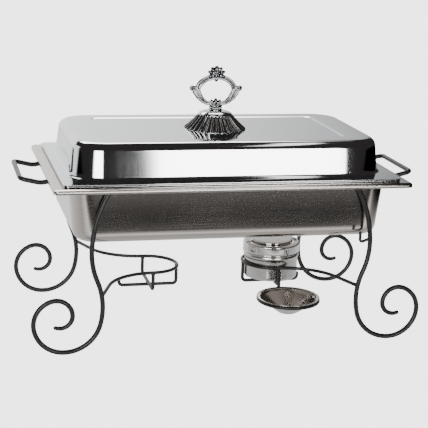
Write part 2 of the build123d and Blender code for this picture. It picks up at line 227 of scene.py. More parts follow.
def ball(centre, size, rows=14, sides=20, turnDeg=0.0, ridges=None):
    # an ellipsoid with half sizes size, turned about Y; ridges (count, depth) wave its radius round the pole
    polar = np.linspace(0.06, np.pi - 0.06, rows)[:, None]
    a = np.linspace(0, 2 * np.pi, sides, endpoint=False)[None]
    wave = 1 if ridges is None else 1 + ridges[1] * np.cos(ridges[0] * a) * np.sin(polar)
    x = np.sin(polar) * np.cos(a) * size[0] * wave
    y = np.sin(polar) * np.sin(a) * size[1] * wave
    z = -np.cos(polar) * size[2] + 0 * a
    t = np.radians(turnDeg)
    points = np.stack([x * np.cos(t) + z * np.sin(t), y, -x * np.sin(t) + z * np.cos(t)],
                      -1) + np.asarray(centre)
    caps = [np.arange(sides)[::-1], np.arange(sides) + (rows - 1) * sides]
    return points.reshape(-1, 3), gridFaces(rows, sides), caps


def ringRows(half, corner, insets, heights):
    # rows of (half x, half y, corner radius, height): the same outline pulled in by each inset
    insets = np.asarray(insets, float)
    heights = np.broadcast_to(np.asarray(heights, float), insets.shape)
    return np.stack([half[0] - insets, half[1] - insets, np.maximum(corner - insets, 0.4), heights], 1)


def roundedRings(rows, cornerSteps=14, sideSteps=(26, 16)):
    # each row becomes a rounded rectangle: four quarter circles joined by straight runs,
    # with the same number of points in every row so that they join as a grid
    rows = np.asarray(rows, float)
    hx, hy, c, z = [rows[:, k:k + 1] for k in range(4)]
    a = np.radians(np.linspace(0, 90, cornerSteps))[None]
    loop = []
    for k, (sx, sy) in enumerate(((1, 1), (-1, 1), (-1, -1), (1, -1))):
        turn = np.radians(90 * k)
        x = sx * (hx - c) + c * np.cos(a + turn)
        y = sy * (hy - c) + c * np.sin(a + turn)
        loop.append(np.stack([x, y], -1))
    outline = []
    for k in range(4):
        start = loop[k][:, -1:]
        end = loop[(k + 1) % 4][:, :1]
        t = (np.arange(1, sideSteps[k % 2]) / sideSteps[k % 2])[None, :, None]
        outline += [loop[k], start + (end - start) * t]
    flatRing = np.concatenate(outline, 1)
    height = np.broadcast_to(z, flatRing.shape[:2])[..., None]
    points = np.concatenate([flatRing, height], -1)
    count = points.shape[1]
    return points.reshape(-1, 3), gridFaces(len(rows), count), count


def solidify(piece, thickness):
    # gives a sheet its wall, away from the side that its faces point to
    wall = piece.modifiers.new("wall", "SOLIDIFY")
    wall.thickness = thickness * mm
    wall.offset = -1
    wall.use_even_offset = True
    return wall


def nodeOf(tree, kind, **values):
    node = tree.nodes.new(kind)
    for key, value in values.items():
        if hasattr(node, key) and key not in node.inputs:
            setattr(node, key, value)
        else:
            node.inputs[key].default_value = value
    return node


def linkChain(tree, *pairs):
    for start, end in pairs:
        tree.links.new(start, end)


def group(name, inputs, outputs):
    tree = bpy.data.node_groups.new(name, "ShaderNodeTree")
    for label, kind, value in inputs:
        socket = tree.interface.new_socket(name=label, in_out="INPUT", socket_type=kind)
        if value is not None:
            socket.default_value = value
    for label, kind in outputs:
        tree.interface.new_socket(name=label, in_out="OUTPUT", socket_type=kind)
    return tree, tree.nodes.new("NodeGroupInput"), tree.nodes.new("NodeGroupOutput")


def placed(tree, groupTree, **values):
    node = tree.nodes.new("ShaderNodeGroup")
    node.node_tree = groupTree
    for key, value in values.items():
        node.inputs[key].default_value = value
    return node


def buildBrushed():
    # long thin streaks: noise stretched along one way, for colour, roughness and height
    tree, put, out = group("brushedLines", [
        ("Position", "NodeSocketVector", None), ("Stretch", "NodeSocketVector", (30, 30, 2600)),
        ("Base", "NodeSocketColor", (0.6, 0.6, 0.6, 1)), ("Shade", "NodeSocketFloat", 0.12),
        ("Rough Low", "NodeSocketFloat", 0.22), ("Rough High", "NodeSocketFloat", 0.36)],
        [("Color", "NodeSocketColor"), ("Roughness", "NodeSocketFloat"), ("Height", "NodeSocketFloat")])
    stretch = nodeOf(tree, "ShaderNodeVectorMath", operation="MULTIPLY")
    fine = nodeOf(tree, "ShaderNodeTexNoise", Scale=1.0, Detail=5.0, Roughness=0.65)
    smudge = nodeOf(tree, "ShaderNodeTexNoise", Scale=9.0, Detail=3.0, Roughness=0.5)
    rough = nodeOf(tree, "ShaderNodeMapRange", **{"From Min": 0.3, "From Max": 0.7})
    shade = nodeOf(tree, "ShaderNodeMapRange", **{"From Min": 0.3, "From Max": 0.7, "To Min": 1.0,
                                                  "To Max": 1.0})
    dark = nodeOf(tree, "ShaderNodeMath", operation="SUBTRACT")
    dark.inputs[0].default_value = 1.0
    tint = nodeOf(tree, "ShaderNodeVectorMath", operation="SCALE")
    spread = nodeOf(tree, "ShaderNodeMath", operation="MULTIPLY_ADD")
    link = tree.links.new
    link(put.outputs["Position"], stretch.inputs[0])
    link(put.outputs["Stretch"], stretch.inputs[1])
    link(stretch.outputs[0], fine.inputs["Vector"])
    link(put.outputs["Position"], smudge.inputs["Vector"])
    link(fine.outputs[0], rough.inputs["Value"])
    link(put.outputs["Rough Low"], rough.inputs["To Min"])
    link(put.outputs["Rough High"], rough.inputs["To Max"])
    link(put.outputs["Shade"], dark.inputs[1])
    link(fine.outputs[0], shade.inputs["Value"])
    link(dark.outputs[0], shade.inputs["To Min"])
    link(put.outputs["Base"], tint.inputs[0])
    link(shade.outputs[0], tint.inputs["Scale"])
    link(smudge.outputs[0], spread.inputs[0])
    spread.inputs[1].default_value = 0.06
    link(rough.outputs[0], spread.inputs[2])
    link(tint.outputs[0], out.inputs["Color"])
    link(spread.outputs[0], out.inputs["Roughness"])
    link(fine.outputs[0], out.inputs["Height"])
    return tree


def buildPeel():
    # fine even pimples of a baked powder coat, with faint dull patches
    tree, put, out = group("coatPeel", [
        ("Position", "NodeSocketVector", None), ("Scale", "NodeSocketFloat", 1400.0),
        ("Base", "NodeSocketColor", (0.03, 0.03, 0.03, 1)), ("Rough", "NodeSocketFloat", 0.4)],
        [("Color", "NodeSocketColor"), ("Roughness", "NodeSocketFloat"), ("Height", "NodeSocketFloat")])
    fine = nodeOf(tree, "ShaderNodeTexNoise", Detail=2.0, Roughness=0.5)
    wide = nodeOf(tree, "ShaderNodeTexNoise", Scale=26.0, Detail=4.0, Roughness=0.6)
    tintRange = nodeOf(tree, "ShaderNodeMapRange", **{"From Min": 0.3, "From Max": 0.7, "To Min": 0.8,
                                                      "To Max": 1.35})
    tint = nodeOf(tree, "ShaderNodeVectorMath", operation="SCALE")
    rough = nodeOf(tree, "ShaderNodeMath", operation="MULTIPLY_ADD")
    rough.inputs[1].default_value = 0.16
    lower = nodeOf(tree, "ShaderNodeMath", operation="SUBTRACT")
    lower.inputs[1].default_value = 0.08
    link = tree.links.new
    link(put.outputs["Position"], fine.inputs["Vector"])
    link(put.outputs["Scale"], fine.inputs["Scale"])
    link(put.outputs["Position"], wide.inputs["Vector"])
    link(wide.outputs[0], tintRange.inputs["Value"])
    link(put.outputs["Base"], tint.inputs[0])
    link(tintRange.outputs[0], tint.inputs["Scale"])
    link(put.outputs["Rough"], lower.inputs[0])
    link(wide.outputs[0], rough.inputs[0])
    link(lower.outputs[0], rough.inputs[2])
    link(tint.outputs[0], out.inputs["Color"])
    link(rough.outputs[0], out.inputs["Roughness"])
    link(fine.outputs[0], out.inputs["Height"])
    return tree


lineHeight = 0.00004    # metres, the most that a brushed line stands proud
brushedLines = buildBrushed()
coatPeel = buildPeel()


def startMaterial(name):
    material = bpy.data.materials.new(name)
    material.use_nodes = True
    tree = material.node_tree
    shader = tree.nodes["Principled BSDF"]
    place = tree.nodes.new("ShaderNodeTexCoord")
    return material, tree, shader, place


def addBump(tree, shader, height, strength, distance):
    bump = nodeOf(tree, "ShaderNodeBump", Strength=strength, Distance=distance)
    tree.links.new(height, bump.inputs["Height"])
    tree.links.new(bump.outputs["Normal"], shader.inputs["Normal"])
    return bump


def steel(name, base, stretch, shade, rough, bump):
    # metal with lines along the short values of stretch
    material, tree, shader, place = startMaterial(name)
    lines = placed(tree, brushedLines, Stretch=stretch, Base=(*base, 1), Shade=shade)
    lines.inputs["Rough Low"].default_value = rough[0]
    lines.inputs["Rough High"].default_value = rough[1]
    shader.inputs["Metallic"].default_value = 1.0
    tree.links.new(place.outputs["Object"], lines.inputs["Position"])
    tree.links.new(lines.outputs["Color"], shader.inputs["Base Color"])
    tree.links.new(lines.outputs["Roughness"], shader.inputs["Roughness"])
    addBump(tree, shader, lines.outputs["Height"], bump, lineHeight)
    return material


def powderCoat():
    material, tree, shader, place = startMaterial("blackCoat")
    peel = placed(tree, coatPeel, Base=(0.012, 0.0115, 0.0115, 1), Rough=0.34)
    shader.inputs["Specular IOR Level"].default_value = 0.35
    tree.links.new(place.outputs["Object"], peel.inputs["Position"])
    tree.links.new(peel.outputs["Color"], shader.inputs["Base Color"])
    tree.links.new(peel.outputs["Roughness"], shader.inputs["Roughness"])
    addBump(tree, shader, peel.outputs["Height"], 0.25, 0.0002)
    return material


def chrome(name, base, hollowShade, rough):
    # plated metal with painted shade: its base colour goes to a dark shade colour where the cavity mask is
    # high, in flutes, recesses and creases
    material, tree, shader, place = startMaterial(name)
    # painted shade: the cavity mask mixes the base colour towards the dark shade colour
    cavityShade = nodeOf(tree, "ShaderNodeAttribute", attribute_name="cavityShade")
    blend = nodeOf(tree, "ShaderNodeMix", data_type="RGBA")
    blend.inputs[6].default_value = (*base, 1)
    blend.inputs[7].default_value = (*hollowShade, 1)
    pits = nodeOf(tree, "ShaderNodeTexNoise", Scale=700.0, Detail=3.0, Roughness=0.6)
    rough = nodeOf(tree, "ShaderNodeMapRange", **{"From Min": 0.35, "From Max": 0.75, "To Min": rough[0],
                                                  "To Max": rough[1]})
    shader.inputs["Metallic"].default_value = 1.0
    tree.links.new(place.outputs["Object"], pits.inputs["Vector"])
    tree.links.new(cavityShade.outputs["Fac"], blend.inputs[0])
    tree.links.new(blend.outputs[2], shader.inputs["Base Color"])
    tree.links.new(pits.outputs[0], rough.inputs["Value"])
    tree.links.new(rough.outputs[0], shader.inputs["Roughness"])
    addBump(tree, shader, pits.outputs[0], 0.12, 0.00005)
    return material


blackCoat = powderCoat()
panSteel = steel("panBrushedSteel", (0.56, 0.52, 0.485), (7, 7, 2300), 0.25, (0.085, 0.135), 0.012)
rimSteel = steel("foodPanSteel", (0.62, 0.62, 0.61), (9, 1500, 1500), 0.12, (0.10, 0.16), 0.012)
lidSteel = steel("lidPolishedSteel", (0.72, 0.73, 0.75), (6, 1600, 1600), 0.06, (0.018, 0.040), 0.006)
cupSteel = steel("cupBrushedSteel", (0.52, 0.50, 0.48), (12, 12, 2600), 0.22, (0.14, 0.24), 0.02)
collarSteel = steel("collarPolishedSteel", (0.56, 0.55, 0.54), (20, 20, 1500), 0.08, (0.03, 0.08), 0.008)
coverSteel = steel("coverPolishedSteel", (0.60, 0.59, 0.58), (20, 20, 1500), 0.08, (0.05, 0.10), 0.008)
dishSteel = steel("dishPolishedSteel", (0.50, 0.47, 0.44), (60, 60, 1500), 0.10, (0.14, 0.22), 0.006)
screwSteel = steel("plainScrewSteel", (0.55, 0.55, 0.55), (900, 900, 900), 0.10, (0.25, 0.35), 0.06)
# the third colour of each is the painted shade put in its hollows
finialChrome = chrome("fluteChrome", (0.66, 0.67, 0.68), (0.045, 0.042, 0.04), (0.05, 0.10))
ringChrome = chrome("castChrome", (0.30, 0.31, 0.32), (0.02, 0.019, 0.018), (0.18, 0.30))
print("materials made")

stand = {
    "rod": 3.8, "wire": 2.8, "hook": 2.3,
    "legY": 154.5, "legTop": (192.2, 255.2), "legHeading": -60.2,
    "legBends": [(194, -26.0), (117, -26.6), (108, 36.8), (56, 79.5), (46.5, 77.5), (38, 81.0),
                 (25, 107.6), (19, 111.8)],
    "footLevel": 3.65, "tipTaper": 34.0,
    "railX": 273.5, "railZ": 255.2, "railCorner": 12.0,
    "handleX": 318.0, "handleY": 65.0, "handleZ": 254.6, "dipZ": 247.6, "dipX": 288.0,
    "basketX": 105.0, "ringR": 48.0, "loopZ": 91.5, "flareR": 85.0, "flareTurn": 70.0,
    "longZ": 57.4, "crossZ": 63.0, "tipX": 152.5, "tipZ": 70.0, "bend": 6.0,
    "snufferR": 48.5, "snufferZ": 58.0,
}
stand["stemY"] = -(stand["ringR"] + 2 * stand["wire"])
stand["snufferY"] = stand["stemY"] - stand["snufferR"] - 2 * stand["wire"] + 0.1


def toPlane(path, side, y):
    # a line in the XZ plane, mirrored to its side and set at depth y
    return np.stack([side * path[:, 0], np.full(len(path), y), path[:, 1]], 1)


def legPath():
    s = stand
    trial = bends(s["legTop"], s["legHeading"], 1.0, s["legBends"])
    lead = 1.0 + (trial[:, 1].min() - s["footLevel"]) / np.sin(np.radians(-s["legHeading"]))
    return bends(s["legTop"], s["legHeading"], lead, s["legBends"])


def along(path):
    gaps = np.linalg.norm(np.diff(path, axis=0), axis=1)
    return np.concatenate([[0], np.cumsum(gaps)])


def makeLegs():
    # the rod keeps its thickness down to the scroll, then is drawn out and flattened to its tip
    s = stand
    line = legPath()[1:]
    run = along(line)
    toTip = np.clip((run[-1] - run) / s["tipTaper"], 0, 1)
    draw = toTip ** 0.7
    radius = s["rod"] * (0.80 + 0.20 * draw) * (1 + 0.006 * np.sin(run / 9.0))
    flat = 1.12 - 0.12 * draw
    for sideName, side in (("left", -1), ("right", 1)):
        for endName, end in (("front", -1), ("back", 1)):
            path = toPlane(line, side, end * s["legY"])
            node = "leg_" + endName + "_" + sideName
            points, quads, caps = tube(path, radius, (0, 1, 0), 24, flat)
            points[:, 2] = np.maximum(points[:, 2], 0.0)
            pieceFrom(node + "_rod", points, quads, caps, blackCoat, "stand", "black_rod", [node])


def makeRails():
    s = stand
    reach = s["railX"] - s["railCorner"]
    for endName, end in (("front", -1), ("back", 1)):
        path = resample(np.array([(-reach, end * s["legY"], s["railZ"]),
                                  (reach, end * s["legY"], s["railZ"])], float), 12)
        node = "top_rail_" + endName
        pieceFrom(node + "_rod", *tube(path, s["rod"], (0, 0, 1), 20), blackCoat, "stand", "black_rod",
                  [node])
    for sideName, side in (("left", -1), ("right", 1)):
        y = s["legY"]
        corners = [(side * reach, -y, s["railZ"]), (side * s["railX"], -y, s["railZ"]),
                   (side * s["railX"], y, s["railZ"]), (side * reach, y, s["railZ"])]
        node = "top_rail_" + sideName
        path = bentPath(corners, [s["railCorner"] - 0.01] * 2)
        pieceFrom(node + "_rod", *tube(path, s["rod"], (0, 0, 1), 20), blackCoat, "stand", "black_rod",
                  [node])


def makeHandles():
    # one bar bent twice, its arms sagging a little before they tuck up under the rim
    s = stand
    for sideName, side in (("left", -1), ("right", 1)):
        y = s["handleY"]
        rootZ = s["dipZ"] + 1.6
        corners = [(side * (s["railX"] + 3.2), -y, rootZ), (side * s["dipX"], -y, s["dipZ"]),
                   (side * s["handleX"], -y, s["handleZ"]), (side * s["handleX"], y, s["handleZ"]),
                   (side * s["dipX"], y, s["dipZ"]), (side * (s["railX"] + 3.2), y, rootZ)]
        path = bentPath(corners, [30.0, 9.0, 9.0, 30.0], 1.0)
        node = "handle_" + sideName
        pieceFrom(node + "_bar", *tube(path, s["rod"], (0, 0, 1), 24), blackCoat, "stand", "black_rod",
                  [node])


def loopPath(side):
    # half a ring, and from each of its ends an arc that turns away and runs straight to a leg
    s = stand
    t = np.radians(np.linspace(0, s["flareTurn"], 40))
    flareX = s["basketX"] + s["flareR"] * np.sin(t)
    flareY = s["ringR"] + s["flareR"] * (1 - np.cos(t))
    reach = (s["legY"] - 2.0 - flareY[-1]) / np.tan(t[-1])
    arm = np.stack([np.append(flareX, flareX[-1] + reach), np.append(flareY, s["legY"] - 2.0)], 1)
    a = np.radians(np.linspace(90, 270, 61))[1:-1]
    ring = np.stack([s["basketX"] + s["ringR"] * np.cos(a), s["ringR"] * np.sin(a)], 1)
    flatLine = np.concatenate([arm[::-1], ring, arm * (1, -1)])
    z = np.full(len(flatLine), s["loopZ"])
    return np.stack([side * flatLine[:, 0], flatLine[:, 1], z], 1)


def makeBaskets():
    s = stand
    top = s["loopZ"] - s["wire"] * 0.6
    for sideName, side in (("left", -1), ("right", 1)):
        x = side * s["basketX"]
        r = s["ringR"]
        cross = [(x, -r, top), (x, -r, s["crossZ"]), (x, r, s["crossZ"]), (x, r, top)]
        inner = side * (s["basketX"] - r)
        outer = side * s["tipX"]
        longWay = [(inner, 0, top), (inner, 0, s["longZ"]), (outer, 0, s["longZ"]),
                   (outer, 0, s["tipZ"] - s["wire"])]
        names = ("burner_loop_", "basket_cross_wire_", "basket_long_wire_")
        paths = (resample(loopPath(side), 2.0), bentPath(cross, [s["bend"]] * 2),
                 bentPath(longWay, [s["bend"]] * 2))
        for name, path, ref in zip(names, paths, ((0, 0, 1), (1, 0, 0), (0, 1, 0))):
            node = name + sideName
            pieceFrom(node + "_rod", *tube(path, s["wire"], ref, 18), blackCoat, "stand", "black_rod",
                      [node])


def makeSnufferRing():
    s = stand
    a = np.linspace(0, 2 * np.pi, 120, endpoint=False)
    ring = np.stack([s["basketX"] + s["snufferR"] * np.cos(a), s["snufferY"] + s["snufferR"] * np.sin(a),
                     np.full(120, s["snufferZ"])], 1)
    pieceFrom("snuffer_ring_wire", *tube(ring, s["wire"], (0, 0, 1), 18, closed=True), blackCoat, "stand",
              "black_rod", ["snuffer_ring"])
    stem = resample(np.array([(s["basketX"], s["stemY"], 57.9), (s["basketX"], s["stemY"], 85.5)]), 2.0)
    pieceFrom("snuffer_stem_wire", *tube(stem, s["wire"], (0, 1, 0), 18), blackCoat, "stand", "black_rod",
              ["snuffer_ring_stem"])


def makeHook():
    y = -stand["legY"]
    corners = [(216.8, y, 167.2), (203.6, y, 162.6), (203.0, y, 178.0)]
    path = bentPath(corners, [3.4], 0.8)
    pieceFrom("utensil_hook_wire", *tube(path, stand["hook"], (0, 1, 0), 16), blackCoat, "stand",
              "black_rod",
              ["utensil_hook"])


def makeWelds():
    # a puddle of weld at each joint: an uneven ball, wider than the wire it holds
    s = stand
    rng = np.random.default_rng(4)
    spots = []
    for side in (-1, 1):
        for end in (-1, 1):
            spots.append(((side * 192.6, end * s["legY"], 252.6), 4.9))
            spots.append(((side * 204.0, end * (s["legY"] - 3.4), s["loopZ"]), 4.1))
            spots.append(((side * s["basketX"], end * s["ringR"], s["loopZ"] - 2.6), 3.4))
            spots.append(((side * (s["railX"] + 2.0), end * s["handleY"], 251.4), 4.7))
        spots.append(((side * (s["basketX"] - s["ringR"]), 0, s["loopZ"] - 2.6), 3.4))
        spots.append(((side * s["basketX"], 0, (s["crossZ"] + s["longZ"]) / 2), 3.2))
    spots.append(((s["basketX"], s["stemY"] - 2.7, s["snufferZ"]), 3.3))
    spots.append(((s["basketX"], s["stemY"] + 2.8, 80.0), 2.7))
    spots.append(((216.6, -s["legY"], 167.0), 3.0))
    parts = []
    for centre, size in spots:
        half = size * rng.uniform(0.92, 1.06, 3)
        parts.append(ball(centre, half, 12, 18, rng.uniform(0, 90), (3, 0.05)))
    points, quads, caps = join(parts)
    pieceFrom("weld_beads", points, quads, caps, blackCoat, "stand", "black_rod")


makeLegs()
makeRails()
makeHandles()
makeBaskets()
makeSnufferRing()
makeHook()
makeWelds()
print("stand made")

sheet = 0.9
waterSet = {"rimCorner": 8.0, "lip": 7.2, "bevel": (5.0, 1.3), "mouth": (252.7, 149.4), "corner": 45.1,
            "seat": 14.0, "step": 3.2, "taper": 6.0, "heel": 15.1}
foodSet = {"rimCorner": 8.0, "mouth": (247.7, 145.1), "corner": 41.1, "taper": 5.0, "heel": 13.1}
lidSet = {"rimCorner": 8.0, "wall": (247.5, 135.5), "corner": 54.0, "taper": 7.0, "brow": 14.0,
          "flare": 5.0,
          "panel": (190.0, 92.0), "panelCorner": 12.0, "panelDepth": 1.4, "hole": 2.8}


def sheetPiece(name, rows, material, body, slotName, stands, closed=True):
    points, quads, count = roundedRings(rows)
    caps = [np.arange(count) + (len(rows) - 1) * count] if closed else []
    piece = pieceFrom(name, points, quads, caps, material, body, slotName, stands)
    solidify(piece, sheet)
    return piece


def toCentre(half, corner, z, end, count=5):
    # flat rows that close in from one outline to a small circle
    t = np.linspace(0, 1, count)[1:, None]
    start = np.array([half[0], half[1], corner, z])
    stop = np.array([end, end, end, z])
    return start + (stop - start) * t


def makeWaterPan():
    s = waterSet
    low, high = boxMm("water_pan", "water_pan_rim")
    half = (high[0], high[1])
    top = high[2]
    lipLow = top - s["lip"]
    edge = 1.1
    bevelIn, bevelDrop = s["bevel"]
    shoulderZ = top - bevelDrop
    outer = ringRows(half, s["rimCorner"], [0.5, 0.12, 0, 0, 0], [lipLow, lipLow + 0.35, lipLow + 1.0,
                                                                  lipLow + 3.0, shoulderZ - edge])
    roll = arcPoints((edge, shoulderZ - edge), edge, 180, 108, 6)[1:]
    rolled = ringRows(half, s["rimCorner"], roll[:, 0], roll[:, 1])
    bevel = ringRows(half, s["rimCorner"], [bevelIn - 0.5, bevelIn, bevelIn + 0.7],
                     [top - 0.16, top - 0.03, top])
    flange = ringRows(s["mouth"], s["corner"], [-3.2, -2.2, -1.2, -0.5, -0.08, 0],
                      [top, top - 0.08, top - 0.45, top - 1.1, top - 2.0, top - 3.0])
    seatLow = top - s["seat"]
    floorZ = low[2] + sheet
    slope = np.tan(np.radians(s["taper"]))
    upperZ = np.array([top - 6.0, top - 7.5, top - 10.0, top - 14.0, top - 18.0])
    upper = s["step"] + (seatLow - upperZ) * slope
    seat = ringRows(s["mouth"], s["corner"], np.concatenate([[0.5, 1.4], upper]),
                    np.concatenate([[top - 3.9, top - 4.9], upperZ]))
    heelTurn = arcPoints((0, 0), s["heel"], 180 + s["taper"], 270, 12)
    heelInset = s["step"] + (seatLow - floorZ - s["heel"] * (1 - np.sin(np.radians(s["taper"])))) * slope
    shift = heelInset + s["heel"] * np.cos(np.radians(s["taper"]))
    wallZ = np.linspace(seatLow - 8, floorZ + s["heel"] + 4, 6)
    wall = ringRows(s["mouth"], s["corner"], s["step"] + (seatLow - wallZ) * slope, wallZ)
    heel = ringRows(s["mouth"], s["corner"], heelTurn[:, 0] + shift, heelTurn[:, 1] + floorZ + s["heel"])
    last = heel[-1]
    floorRows = toCentre(last[:2], last[2], floorZ, 3.0)
    rows = np.concatenate([outer, rolled, bevel, flange, seat, wall, heel, floorRows])
    return sheetPiece("water_pan_sheet", rows, panSteel, "water_pan", "brushed_pan",
                      ["water_pan", "water_pan_rim"])


def makeFoodPan():
    s = foodSet
    low, high = boxMm("food_pan", "food_pan_rim")
    half = (high[0], high[1])
    top = high[2]
    edge = 0.8
    outer = ringRows(half, s["rimCorner"], [0.2, 0, 0], [top - 2.4, top - 2.0, top - edge])
    roll = arcPoints((edge, top - edge), edge, 180, 90, 6)[1:]
    rolled = ringRows(half, s["rimCorner"], roll[:, 0], roll[:, 1])
    flange = ringRows(s["mouth"], s["corner"], [-4.0, -2.6, -1.3, -0.4, 0],
                      [top, top - 0.2, top - 0.9, top - 2.2, top - 4.0])
    floorZ = low[2] + sheet
    slope = np.tan(np.radians(s["taper"]))
    turn = arcPoints((0, 0), s["heel"], 180 + s["taper"], 270, 12)
    inset = (top - floorZ - s["heel"] * (1 - np.sin(np.radians(s["taper"])))) * slope
    shift = inset + s["heel"] * np.cos(np.radians(s["taper"]))
    wallZ = np.linspace(top - 8, floorZ + s["heel"] + 4, 5)
    wall = ringRows(s["mouth"], s["corner"], (top - wallZ) * slope, wallZ)
    heel = ringRows(s["mouth"], s["corner"], turn[:, 0] + shift, turn[:, 1] + floorZ + s["heel"])
    last = heel[-1]
    rows = np.concatenate([outer, rolled, flange, wall, heel, toCentre(last[:2], last[2], floorZ, 3.0)])
    return sheetPiece("food_pan_sheet", rows, rimSteel, "food_pan", "pan_steel",
                      ["food_pan", "food_pan_rim"])


def makeLid():
    s = lidSet
    low, high = boxMm("lid_shell")
    half = (high[0], high[1])
    rimZ = 265.3
    top = high[2]
    edge = 0.7
    slope = np.tan(np.radians(s["taper"]))
    outer = ringRows(half, s["rimCorner"], [0.25, 0, 0], [low[2], low[2] + 0.35, rimZ - edge])
    roll = arcPoints((edge, rimZ - edge), edge, 180, 90, 6)[1:]
    rolled = ringRows(half, s["rimCorner"], roll[:, 0], roll[:, 1])
    flare = arcPoints((-s["flare"], rimZ + s["flare"]), s["flare"], 270, 360 - s["taper"], 9)
    flareRows = ringRows(s["wall"], s["corner"], flare[:, 0], flare[:, 1])
    start = flare[-1]
    brow = s["brow"]
    wallTopZ = top - brow * (1 - np.sin(np.radians(s["taper"])))
    wallZ = np.linspace(start[1] + 3, wallTopZ - 2, 6)
    wall = ringRows(s["wall"], s["corner"], start[0] + (wallZ - start[1]) * slope, wallZ)
    browIn = start[0] + (wallTopZ - start[1]) * slope
    turn = arcPoints((0, 0), brow, 180 - s["taper"], 90, 14)
    browRows = ringRows(s["wall"], s["corner"], turn[:, 0] + browIn + brow * np.cos(np.radians(s["taper"])),
                        turn[:, 1] + top - brow)
    step = ringRows(s["panel"], s["panelCorner"], [-2.2, -1.2, -0.2, 0.8, 1.8, 2.8, 3.8],
                    top - s["panelDepth"] * np.array([0, 0.06, 0.28, 0.62, 0.88, 0.98, 1.0]))
    last = step[-1]
    rows = np.concatenate([outer, rolled, flareRows, wall, browRows, step,
                           toCentre(last[:2], last[2], last[3], s["hole"], 7)])
    return sheetPiece("lid_sheet", rows, lidSteel, "lid", "polished_lid", ["lid_shell"], closed=False)


makeWaterPan()
makeFoodPan()
makeLid()
print("pans and lid made")


def filleted(points, radius, closed=False, steps=4):
    # rounds each corner with a curve from one run to the next, no longer than 0.45 of either
    p = np.asarray(points, float)
    before = np.roll(p, 1, 0)
    after = np.roll(p, -1, 0)
    line = []
    for k in range(len(p)):
        if not closed and k in (0, len(p) - 1):
            line.append(p[k][None])
            continue
        a, b = before[k] - p[k], after[k] - p[k]
        la, lb = np.linalg.norm(a), np.linalg.norm(b)
        cut = min(radius, 0.45 * la, 0.45 * lb)
        t = np.linspace(0, 1, steps)[:, None]
        first, last = p[k] + a / la * cut, p[k] + b / lb * cut
        line.append((1 - t) ** 2 * first + 2 * t * (1 - t) * p[k] + t ** 2 * last)
    return np.concatenate(line)


def turnedPiece(name, outline, radius, centre, material, body, slotName, nodes, sides=128, closed=False,
                stepMm=3.0):
    line = filleted(outline, radius, closed)
    if closed:
        line = resample(np.vstack([line, line[:1]]), stepMm)[:-1]
    else:
        line = resample(line, stepMm)
    points, quads, caps = lathe(line, centre, sides, closed, not closed, not closed)
    return pieceFrom(name, points, quads, caps, material, body, slotName, nodes)


def markCavityShade(piece, values):
    layer = piece.data.attributes.new("cavityShade", "FLOAT", "POINT")
    layer.data.foreach_set("value", np.asarray(values, np.float32).ravel())


finial = {
    "flutes": 32, "perFlute": 12,
    "bell": [(50.9, 318.15), (50.7, 319.1), (48.6, 320.7), (44.4, 324.2), (38.7, 329.6), (33.2, 335.2),
             (29.0, 339.4), (26.9, 341.6)],
    "deep": 2.5, "shallow": 1.2,
    "cap": [(25.6, 340.9), (26.9, 341.6), (27.4, 342.4), (26.5, 343.3), (24.0, 344.7), (19.6, 346.2),
            (14.6, 347.2),
            (10.9, 347.7)],
    "neck": [(10.6, 347.9), (11.1, 348.4), (11.0, 349.2), (9.6, 349.8), (8.8, 350.4), (8.7, 353.4),
             (9.6, 354.0),
             (11.0, 354.6), (11.2, 355.3), (10.4, 356.2), (7.0, 357.4), (0.4, 358.3)],
    "beads": 18, "beadAt": (9.3, 351.9), "bead": 1.6,
}


def makeBell():
    # radius and height follow the bell's side; across each flute the surface dips by half of
    # one minus the cosine of a full turn
    f = finial
    line = splinePath(f["bell"], 40)
    slope = np.gradient(line, axis=0)
    normal = np.stack([slope[:, 1], -slope[:, 0]], 1)
    normal /= np.linalg.norm(normal, axis=1, keepdims=True)
    count = f["flutes"] * f["perFlute"]
    u = (np.arange(count) % f["perFlute"]) / f["perFlute"]
    dip = 0.5 - 0.5 * np.cos(2 * np.pi * u)
    t = np.linspace(0, 1, len(line))[:, None]
    depth = ((f["deep"] + (f["shallow"] - f["deep"]) * t) * np.clip((1 - t) / 0.06, 0, 1)
             * np.clip(t / 0.05, 0.35, 1))
    notch = 1.5 * np.abs(np.cos(np.pi * u)) ** 3 * np.clip(1 - t / 0.22, 0, 1)
    r = line[:, :1] - depth * dip * normal[:, :1] - notch
    z = line[:, 1:] - depth * dip * normal[:, 1:]
    z = np.maximum(z, f["bell"][0][1])
    a = 2 * np.pi * (np.arange(count) / count)
    points = np.stack([r * np.cos(a), r * np.sin(a), z], -1).reshape(-1, 3)
    rows = len(line)
    caps = [np.arange(count)[::-1], np.arange(count) + (rows - 1) * count]
    bell = pieceFrom("finial_bell", points, gridFaces(rows, count), caps, finialChrome, "lid",
                     "finial_chrome",
                     ["finial_base"])
    # painted shade in each flute: darkest at the flute's middle, lighter towards the top of the bell
    markCavityShade(bell, 0.25 * dip * (1 - 0.6 * t))
    capLine = resample(splinePath(f["cap"], 30), 1.0)
    points, quads, caps = lathe(capLine, sides=128, capStart=True, capEnd=True)
    cap = pieceFrom("finial_cap", points, quads, caps, finialChrome, "lid", "finial_chrome")
    markCavityShade(cap, np.zeros(len(points)))
    neckLine = splinePath(f["neck"], 60)
    parts = [lathe(neckLine, sides=72, capStart=True, capEnd=True)]
    # painted shade in the neck's waist: darker where its radius falls below 10.6 mm
    cavityShade = [np.repeat(np.clip((10.6 - neckLine[:, 0]) / 1.4, 0, 1), 72)]
    for k in range(f["beads"]):
        b = 2 * np.pi * k / f["beads"]
        parts.append(ball((f["beadAt"][0] * np.cos(b), f["beadAt"][0] * np.sin(b), f["beadAt"][1]),
                          [f["bead"]] * 3, 12, 16))
        cavityShade.append(np.zeros(12 * 16))
    points, quads, caps = join(parts)
    neck = pieceFrom("finial_neck", points, quads, caps, finialChrome, "lid", "finial_chrome",
                     ["finial_collar"])
    markCavityShade(neck, np.concatenate(cavityShade))


def mirrored(points, side):
    return [(side * x, y, z) for x, y, z in points]


